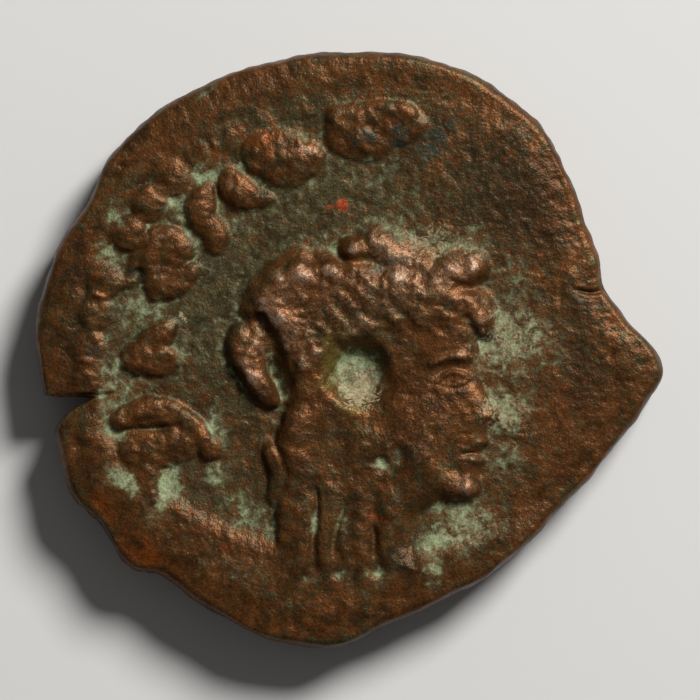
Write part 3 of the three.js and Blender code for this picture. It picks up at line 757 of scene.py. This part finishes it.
def bead(bearing, left):
    right, above = on_circle(BORDER_RADIUS, math.radians(bearing))
    at = (BORDER_CENTRE[0] + right, BORDER_CENTRE[1] + above)
    return Lump(at, (BEAD_RADIUS, BEAD_RADIUS), BEAD_HEIGHT * left, 0, STEEP)


def beads(x, y):
    return sum(lump_height(x, y, bead(*place)) for place in BEADS_LEFT)


def border_marks(x, y):
    height = np.zeros(x.shape)
    for lump in BORDER_LUMPS:
        height = soft_max(height, lump_height(x, y, lump))
    for stroke in BORDER_STROKES:
        height = soft_max(height, ridge(x, y, stroke))
    return height


def unstruck_metal(x, y):
    outside = np.hypot(x - BORDER_CENTRE[0], y - BORDER_CENTRE[1]) - BORDER_RADIUS
    margin = MARGIN_HEIGHT * smooth_step(MARGIN_START, MARGIN_START + MARGIN_WIDTH, outside)
    low = smooth_step(*WEAK_STRIKE_BELOW, y)
    weak = WEAK_STRIKE.strength * low * smooth_step(*WEAK_STRIKE_RISE, ellipse_reach(x, y, WEAK_STRIKE))
    return np.maximum(margin, weak)


def hollows(x, y):
    depth = np.zeros(x.shape)
    for hollow, floor in HOLLOWS:
        open_share = 1 - smooth_step(floor, HOLLOW_LIP, ellipse_reach(x, y, hollow))
        rough = layered_noise(x, y, HOLLOW_ROUGHNESS, SEEDS["hollows"]) * open_share
        depth = np.maximum(depth, (hollow.height + rough) * open_share)
    for groove in GROOVES:
        depth = np.maximum(depth, ridge(x, y, groove))
    share, _, _, _ = beside_line(x, y, CRACK)
    return np.maximum(depth, ridge(x, y, CRACK) * (1 - share))


def edge_fall(x, y):
    to_edge = flan_radius(np.arctan2(y, x)) - np.hypot(x, y)
    return EDGE_FALL_HEIGHT * (1 - smooth_step(0, EDGE_FALL_WIDTH, to_edge))


def hand_shift(x, y):
    """Slow waves that keep the cut forms from being regular."""
    wave = 2 * math.pi / HAND_PITCH
    sideways = np.sin(wave * (y + HAND_SLANT[0] * x))
    upward = np.sin(wave * (x + HAND_SLANT[1] * y) + HAND_PHASE)
    return x + HAND_REACH * sideways, y + HAND_REACH * upward


def wavering(x, y, layers, seed):
    """Shifts a plan by noise, so that worn outlines turn ragged."""
    crossways = layered_noise(x, y, layers, seed + CROSSWAYS_SEED)
    return x + layered_noise(x, y, layers, seed), y + crossways


def corrosion(x, y):
    """What corrosion added or took: grain all over, and pits in places."""
    pits = smooth_step(*PIT_RISE, lattice_noise(x, y, PIT_PITCH, SEEDS["pits"]))
    return layered_noise(x, y, CORROSION, SEEDS["corrosion"]) - PIT_DEPTH * pits


def marks_along_border(x, y, struck):
    """Beads and worn marks, with corroded tops."""
    height = soft_max(beads(*wavering(x, y, BEAD_WAVER, SEEDS["struck"])), border_marks(*struck))
    rough = layered_noise(x, y, MARK_CORROSION, SEEDS["mark corrosion"])
    return np.maximum(height + rough * smooth_step(*MARK_CORROSION_RISE, height), 0)


def struck_relief(x, y):
    """Height of what was struck on the obverse, above its field."""
    shifted = hand_shift(x, y)
    struck = wavering(*shifted, WAVER, SEEDS["struck"])
    relief = soft_max(unstruck_metal(x, y), marks_along_border(x, y, struck))
    relief = soft_max(relief, face_and_neck(*wavering(x, y, FACE_WAVER, SEEDS["face"])))
    relief = soft_max(relief, hair(*wavering(*shifted, HAIR_WAVER, SEEDS["hair"])))
    return blurred(relief - hollows(*struck), EDGE_WEAR)


def star_ray(index):
    angle = math.radians(index * 360 / STAR_RAYS + STAR_TURN)
    return Stroke(on_circle(STAR_INNER, angle), on_circle(STAR_OUTER, angle), STAR_WIDTH, STAR_HEIGHT)


def reverse_height(x, y):
    """The reverse is worn level: what stands higher than its field reaches down to the resting plane."""
    reach = np.hypot(x, y)
    struck = wavering(x, y, WAVER, SEEDS["reverse"])
    margin_end = REVERSE_MARGIN_START + REVERSE_MARGIN_WIDTH
    relief = REVERSE_MARGIN_HEIGHT * smooth_step(REVERSE_MARGIN_START, margin_end, reach)
    hub = 1 - smooth_step(STAR_HUB_RADIUS, STAR_HUB_RADIUS + STAR_HUB_SLOPE, np.hypot(*struck))
    relief = soft_max(relief, STAR_HEIGHT * hub)
    for index in range(STAR_RAYS):
        relief = soft_max(relief, ridge(*struck, star_ray(index)))
    rough = corrosion(x + REVERSE_SHIFT, y)
    return np.maximum(0, REVERSE_DEPTH - relief + rough) + edge_fall(x, y)


def disc_plan(cells):
    """A square grid squeezed onto the flan, so that the border of the grid follows the outline."""
    steps = np.linspace(-1, 1, cells + 1)
    u, v = np.meshgrid(steps, steps)
    reach = np.maximum(np.abs(u), np.abs(v))
    sideways = np.abs(u) >= np.abs(v)
    lead = np.where(sideways, u, v)
    quarter = np.where(sideways, v, 2 * v - u) / np.where(lead == 0, 1, lead)
    angle = quarter * math.pi / 4 + np.where(lead < 0, math.pi, 0) + GRID_TURN
    radius = reach * mix(CENTRE_RADIUS, flan_radius(angle) - edge_inset(angle), reach**GRID_EASE)
    return radius * np.cos(angle), radius * np.sin(angle)


def grid_faces(cells, first, upward):
    """Quads of a grid whose corners are numbered by rows from the first."""
    column, row = np.meshgrid(np.arange(cells), np.arange(cells))
    corner = (first + row * (cells + 1) + column).ravel()
    quads = np.stack((corner, corner + 1, corner + cells + 2, corner + cells + 1), axis=1)
    return quads if upward else quads[:, ::-1]


def grid_rim(cells, first):
    """Corners on the border of a grid, counter-clockwise from above."""
    step = np.arange(cells)
    width = cells + 1
    sides = (step, step * width + cells, cells * width + cells - step, (cells - step) * width)
    return first + np.concatenate(sides)


def edge_rows(top, bottom):
    """Rows of the rounded edge between the rims of the two faces."""
    angle = np.arctan2(top[:, 1], top[:, 0])
    inner = np.hypot(top[:, 0], top[:, 1])
    rows = []
    for degrees in EDGE_ANGLES:
        turn = math.radians(degrees)
        grain = lattice_noise(angle * inner, EDGE_HEIGHT * turn, EDGE_GRAIN_PITCH, SEEDS["edge grain"])
        rough = EDGE_GRAIN * math.sin(turn) * grain
        radius = inner + edge_inset(angle) * math.sin(turn) ** EDGE_FULLNESS + rough
        face = top if degrees < 90 else bottom
        height = mix(EDGE_HEIGHT, face[:, 2], abs(math.cos(turn)) ** EDGE_FULLNESS)
        rows.append(np.stack((radius * np.cos(angle), radius * np.sin(angle), height), axis=1))
    return np.concatenate(rows)


def strip_faces(upper, lower):
    return np.stack((upper, lower, np.roll(lower, -1), np.roll(upper, -1)), axis=1)


def narrowing_faces(upper, lower):
    """Triangles from a ring to one with half as many corners."""
    even, odd, next_even = upper[::2], upper[1::2], np.roll(upper[::2], -1)
    next_lower = np.roll(lower, -1)
    fans = ((even, lower, odd), (odd, lower, next_lower), (odd, next_lower, next_even))
    return np.concatenate([np.stack(fan, axis=1) for fan in fans])


def blurred(height, width):
    """Height map of a face blurred over a width."""
    cell = 2 * CENTRE_RADIUS / len(height)
    for _ in range(round(2 * (width / cell) ** 2)):
        padded = np.pad(height, 1, mode="edge")
        around = padded[:-2, 1:-1] + padded[2:, 1:-1] + padded[1:-1, :-2] + padded[1:-1, 2:]
        height = (around + 4 * height) / 8
    return height


def stain(x, y, name, patches):
    """How strongly a layer's patches stain a place, with uneven edges."""
    x, y = wavering(x, y, STAIN_WAVER, SEEDS[name])
    amount = np.zeros(x.shape)
    for patch in patches:
        amount = np.maximum(amount, patch.strength * dome(ellipse_reach(x, y, patch) / STAIN_SPREAD))
    return amount


def obverse_stains(x, y, relief):
    """Named layers of patina on the obverse, each from about 0 to 1."""
    standing = relief - blurred(relief, STANDING_WIDTH)
    field = 1 - smooth_step(*FIELD_FADE, relief)
    inner = smooth_step(*FIELD_EDGE, np.hypot(x, y)) * smooth_step(*FIELD_RIGHT, x)
    inner = inner * mix(FIELD_LOW_SHARE, 1, smooth_step(*FIELD_LOW, y))
    sheltered = 1 - smooth_step(*SHELTER_FADE, standing)
    green = np.maximum(stain(x, y, "verdigris", VERDIGRIS), FIELD_VERDIGRIS * field * inner) * sheltered
    nooks = NOOK_VERDIGRIS * smooth_step(*NOOK_RISE, -standing)
    rubbed = CREST_WEAR * smooth_step(*CREST_RISE, standing) + TOP_WEAR * smooth_step(*TOP_RISE, relief)
    layers = {
        # Wear on crests and high tops, plus the painted highlight patches
        "wear_and_highlight": clamp01(rubbed + stain(x, y, "wear_and_highlight", PAINTED_HIGHLIGHTS)),
        "verdigris": clamp01(green + nooks),
        "olive": BARE_OLIVE + FIELD_OLIVE * field * inner,
    }
    for name, patches in PLAIN_STAINS.items():
        layers[name] = stain(x, y, name, patches)
    return layers


def edge_stains(x, y, z):
    uneven = lattice_noise(x + z, y - z, EDGE_STAIN_PITCH, SEEDS["edge stains"])
    return {
        "verdigris": EDGE_VERDIGRIS * smooth_step(*EDGE_VERDIGRIS_RISE, uneven),
        "olive": EDGE_OLIVE + EDGE_OLIVE_SWING * uneven,
    }


def reverse_stains(x, y, height):
    """The reverse is worn where it rests, and green in its low field."""
    low = smooth_step(*REVERSE_LOW_RISE, height)
    uneven = lattice_noise(x, y, REVERSE_STAIN_PITCH, SEEDS["reverse stains"])
    return {
        "verdigris": low * clamp01(REVERSE_VERDIGRIS + REVERSE_VERDIGRIS_SWING * uneven),
        "olive": BARE_OLIVE + FIELD_OLIVE * low,
        "wear_and_highlight": REVERSE_WEAR * (1 - low),
    }


def store_stains(mesh, parts):
    """Keeps each layer of patina as a number on every point. Parts are (number of points, layers)."""
    _, all_layers = parts[0]
    for name in all_layers:
        values = [np.ravel(layers.get(name, np.zeros(count))) for count, layers in parts]
        mesh.attributes.new(name, "FLOAT", "POINT").data.foreach_set("value", np.concatenate(values))


def surface_points(x, y, height):
    return np.stack((x, y, height), axis=2).reshape(-1, 3)


def doubled(ring):
    """A closed row of points with one more put halfway after each."""
    points = np.repeat(ring, 2, axis=0)
    points[1::2] = (points[1::2] + np.roll(ring, -1, axis=0)) / 2
    return points


def coin_faces(first_edge, first_reverse):
    """Faces of the obverse, the edge and the reverse, whose points are numbered in that order."""
    top_rim = grid_rim(OBVERSE_CELLS, 0)
    rings = [top_rim]
    for row in range(len(EDGE_ANGLES)):
        rings.append(first_edge + row * len(top_rim) + np.arange(len(top_rim)))
    faces = grid_faces(OBVERSE_CELLS, 0, True).tolist()
    for upper, lower in zip(rings, rings[1:]):
        faces += strip_faces(upper, lower).tolist()
    faces += narrowing_faces(rings[-1], grid_rim(REVERSE_CELLS, first_reverse)).tolist()
    faces += grid_faces(REVERSE_CELLS, first_reverse, False).tolist()
    return faces


def coin_mesh():
    plan_x, plan_y = disc_plan(OBVERSE_CELLS)
    relief = struck_relief(plan_x, plan_y)
    height = FIELD_HEIGHT + relief - edge_fall(plan_x, plan_y) + corrosion(plan_x, plan_y)
    obverse = surface_points(plan_x, plan_y, height)
    under_x, under_y = disc_plan(REVERSE_CELLS)
    reverse = surface_points(under_x, under_y, reverse_height(under_x, under_y))
    top_rim = obverse[grid_rim(OBVERSE_CELLS, 0)]
    bottom_rim = reverse[grid_rim(REVERSE_CELLS, 0)]
    edge = edge_rows(top_rim, doubled(bottom_rim))

    mesh = bpy.data.meshes.new("coin_relief")
    points = np.concatenate((obverse, edge, reverse)) * MM
    mesh.from_pydata(points.tolist(), [], coin_faces(len(obverse), len(obverse) + len(edge)))
    on_obverse = len(obverse), obverse_stains(plan_x, plan_y, relief)
    on_edge = len(edge), edge_stains(*edge.T)
    on_reverse = len(reverse), reverse_stains(*reverse.T)
    store_stains(mesh, (on_obverse, on_edge, on_reverse))
    mesh.shade_smooth()
    return mesh


class Shader:
    """Makes and joins the nodes of one material."""

    def __init__(self, name):
        self.material = bpy.data.materials.new(name)
        self.material.use_nodes = True
        self.tree = self.material.node_tree
        self.surface = self.tree.nodes["Principled BSDF"]
        self.place = self.tree.nodes.new("ShaderNodeTexCoord").outputs["Object"]

    def feed(self, socket, value):
        """Links a node's output to a socket, or sets the socket's own value."""
        if isinstance(value, bpy.types.NodeSocket):
            self.tree.links.new(value, socket)
        else:
            socket.default_value = value

    def attribute(self, name):
        node = self.tree.nodes.new("ShaderNodeAttribute")
        node.attribute_name = name
        return node.outputs["Fac"]

    def noise(self, texture):
        node = self.tree.nodes.new("ShaderNodeTexNoise")
        node.noise_dimensions = "4D"
        self.feed(node.inputs["Vector"], self.place)
        node.inputs["W"].default_value = texture.seed
        node.inputs["Scale"].default_value = 1 / (texture.width * MM)
        node.inputs["Detail"].default_value = texture.detail
        node.inputs["Distortion"].default_value = texture.twist
        return node.outputs["Fac"]

    def math(self, operation, a, b):
        node = self.tree.nodes.new("ShaderNodeMath")
        node.operation = operation
        self.feed(node.inputs[0], a)
        self.feed(node.inputs[1], b)
        return node.outputs[0]

    def ramp(self, value, start, end, low=0.0, high=1.0):
        """Smooth change from low to high while a value goes from start to end."""
        node = self.tree.nodes.new("ShaderNodeMapRange")
        node.interpolation_type = "SMOOTHSTEP"
        for socket, given in zip(node.inputs, (value, start, end, low, high)):
            self.feed(socket, given)
        return node.outputs[0]

    def broken(self, amount, noise, breakup=PLAIN_BREAK):
        """A layer's amount, broken up by noise, thinning out to none below a trace of it."""
        spread, softness = breakup
        shifted = self.math("MULTIPLY_ADD", noise, spread)
        self.feed(shifted.node.inputs[2], self.math("SUBTRACT", amount, spread / 2))
        patches = self.ramp(shifted, 0.5 - softness, 0.5 + softness)
        return self.math("MULTIPLY", patches, self.ramp(amount, 0.0, TRACE))

    def blend(self, share, a, b, how="MIX"):
        """Colour b laid over colour a."""
        node = self.tree.nodes.new("ShaderNodeMix")
        node.data_type = "RGBA"
        node.blend_type = how
        self.feed(node.inputs["Factor"], share)
        self.feed(node.inputs[6], a)
        self.feed(node.inputs[7], b)
        return node.outputs[2]

    def bump(self, height, depth):
        """Fine relief of a depth in millimetres."""
        node = self.tree.nodes.new("ShaderNodeBump")
        node.inputs["Distance"].default_value = depth * MM
        self.feed(node.inputs["Height"], height)
        self.feed(self.surface.inputs["Normal"], node.outputs["Normal"])


def tarnished_metal(shader, mottle, flakes):
    """Brown and olive metal, mottled, with darker tarnish in places."""
    mottling = shader.ramp(mottle, *NOISE_MIDDLE)
    brown = shader.blend(mottling, DARK_BROWN, RED_BROWN)
    olive = shader.blend(mottling, DARK_OLIVE, OLIVE)
    drift = shader.ramp(shader.noise(CLOUD), *NOISE_MIDDLE, -CLOUD_SWING, CLOUD_SWING)
    spread = shader.math("ADD", shader.attribute("olive"), drift)
    base = shader.blend(shader.broken(spread, flakes, OLIVE_BREAK), brown, olive)
    tarnish = shader.broken(shader.attribute("tarnish"), flakes, TARNISH_BREAK)
    return shader.blend(shader.math("MULTIPLY", tarnish, TARNISH_COVER), base, DARK_TARNISH)


def worn_copper_and_highlights(shader, base, flakes, grain):
    """Copper that shows where the coin is rubbed and where highlights are painted, palest where wear and
    painted highlight are strongest.
    """
    # This amount holds real wear and the painted highlight patches alike, so part of the pale copper is
    # painted highlight
    rubbed = shader.attribute("wear_and_highlight")
    bright = shader.math("SUBTRACT", rubbed, BRIGHT_FROM)
    copper = shader.blend(shader.broken(bright, flakes), WARM_COPPER, PALE_COPPER_WEAR_AND_HIGHLIGHT)
    return shader.blend(shader.math("MULTIPLY", shader.broken(rubbed, grain), WEAR_AND_HIGHLIGHT_COVER), base, copper)


def stained(shader, base, mottle, flakes):
    """Rusty brown, dark blue-green and golden olive stains."""
    rust = shader.broken(shader.attribute("rust"), mottle)
    base = shader.blend(shader.math("MULTIPLY", rust, RUST_COVER), base, RUST_BROWN)
    base = shader.blend(shader.broken(shader.attribute("blue_green"), flakes), base, DARK_TEAL)
    return shader.blend(shader.broken(shader.attribute("golden"), flakes), base, GOLDEN_OLIVE)


def crusted(shader, base, flakes):
    """Verdigris and chalk laid over the metal: the colour, and how thick the crust is."""
    verdigris = shader.attribute("verdigris")
    specks = shader.broken(verdigris, flakes, VERDIGRIS_BREAK)
    veil = shader.math("MULTIPLY", verdigris, VEIL_COVER)
    green = shader.math("ADD", shader.math("MULTIPLY", specks, SPECK_COVER), veil)
    tint = shader.blend(shader.ramp(specks, *SPECK_PALENESS), DULL_GREEN, PALE_GREEN)
    chalk = shader.broken(shader.attribute("chalk"), shader.noise(FIBRES), CHALK_BREAK)
    base = shader.blend(chalk, shader.blend(green, base, tint), CHALK_BEIGE)
    return base, shader.math("MAXIMUM", green, chalk)


def bronze():
    shader = Shader("patinated_bronze")
    sparkle = shader.noise(SPARKLE)
    grain = shader.noise(GRAIN)
    mottle = shader.noise(MOTTLE)
    flakes = shader.noise(FLAKES)
    base = tarnished_metal(shader, mottle, flakes)
    base = worn_copper_and_highlights(shader, base, flakes, grain)
    base = stained(shader, base, mottle, flakes)
    base, crust = crusted(shader, base, flakes)
    base = shader.blend(shader.ramp(shader.attribute("red"), *RED_RISE), base, RED)
    speckle = shader.ramp(sparkle, *NOISE_MIDDLE, *SPECKLE)
    sockets = shader.surface.inputs
    shader.feed(sockets["Base Color"], shader.blend(1.0, base, speckle, "MULTIPLY"))
    shader.feed(sockets["Metallic"], shader.ramp(crust, 0, 1, BARE_METALLIC, 0.0))
    shader.feed(sockets["Roughness"], shader.ramp(crust, 0, 1, BARE_ROUGHNESS, CRUST_ROUGHNESS))
    sockets["Specular IOR Level"].default_value = SPECULAR_LEVEL
    fine = shader.math("MULTIPLY", sparkle, SPARKLE_BUMP)
    shader.bump(shader.math("ADD", fine, grain), BUMP_DEPTH)
    return shader.material


def coin():
    piece = bpy.data.objects.new("coin_patinated", coin_mesh())
    bpy.context.scene.collection.objects.link(piece)
    piece.data.materials.append(bronze())
    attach(piece, "root")
    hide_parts("coin")


def floor():
    mesh = bpy.data.meshes.new("floor")
    half = FLOOR_HALF * MM
    corners = [(-half, -half, 0), (half, -half, 0), (half, half, 0), (-half, half, 0)]
    mesh.from_pydata(corners, [], [(0, 1, 2, 3)])
    shader = Shader("pale_floor")
    shader.surface.inputs["Base Color"].default_value = FLOOR_COLOUR
    shader.surface.inputs["Roughness"].default_value = FLOOR_ROUGHNESS
    mesh.materials.append(shader.material)
    made = bpy.data.objects.new("floor", mesh)
    bpy.context.scene.collection.objects.link(made)


def key_light():
    lamp = bpy.data.lights.new("key", "AREA")
    lamp.shape = "DISK"
    lamp.size = KEY_SIZE * MM
    lamp.energy = KEY_POWER
    light = bpy.data.objects.new("key", lamp)
    bearing = math.radians(KEY_BEARING)
    elevation = math.radians(KEY_ELEVATION)
    level = KEY_DISTANCE * MM * math.cos(elevation)
    height = KEY_DISTANCE * MM * math.sin(elevation)
    light.location = (*on_circle(level, bearing), height)
    light.rotation_euler = (0, math.pi / 2 - elevation, bearing)
    bpy.context.scene.collection.objects.link(light)


def studio_world():
    world = bpy.data.worlds.new("studio")
    world.use_nodes = True
    background = world.node_tree.nodes["Background"]
    background.inputs["Color"].default_value = WORLD_COLOUR
    background.inputs["Strength"].default_value = WORLD_STRENGTH
    bpy.context.scene.world = world


def camera():
    """Straight above the coin, with the frame as wide as the photograph's."""
    lens = bpy.data.cameras.new("camera")
    lens.lens = lens.sensor_width * CAMERA_DISTANCE / FRAME_WIDTH
    made = bpy.data.objects.new("camera", lens)
    made.location = (0, 0, (FIELD_HEIGHT + CAMERA_DISTANCE) * MM)
    lens.clip_start = CAMERA_NEAR * MM
    bpy.context.scene.collection.objects.link(made)
    bpy.context.scene.camera = made


def main():
    coin()
    floor()
    key_light()
    studio_world()
    camera()
    bpy.context.scene.view_settings.view_transform = "Standard"


main()
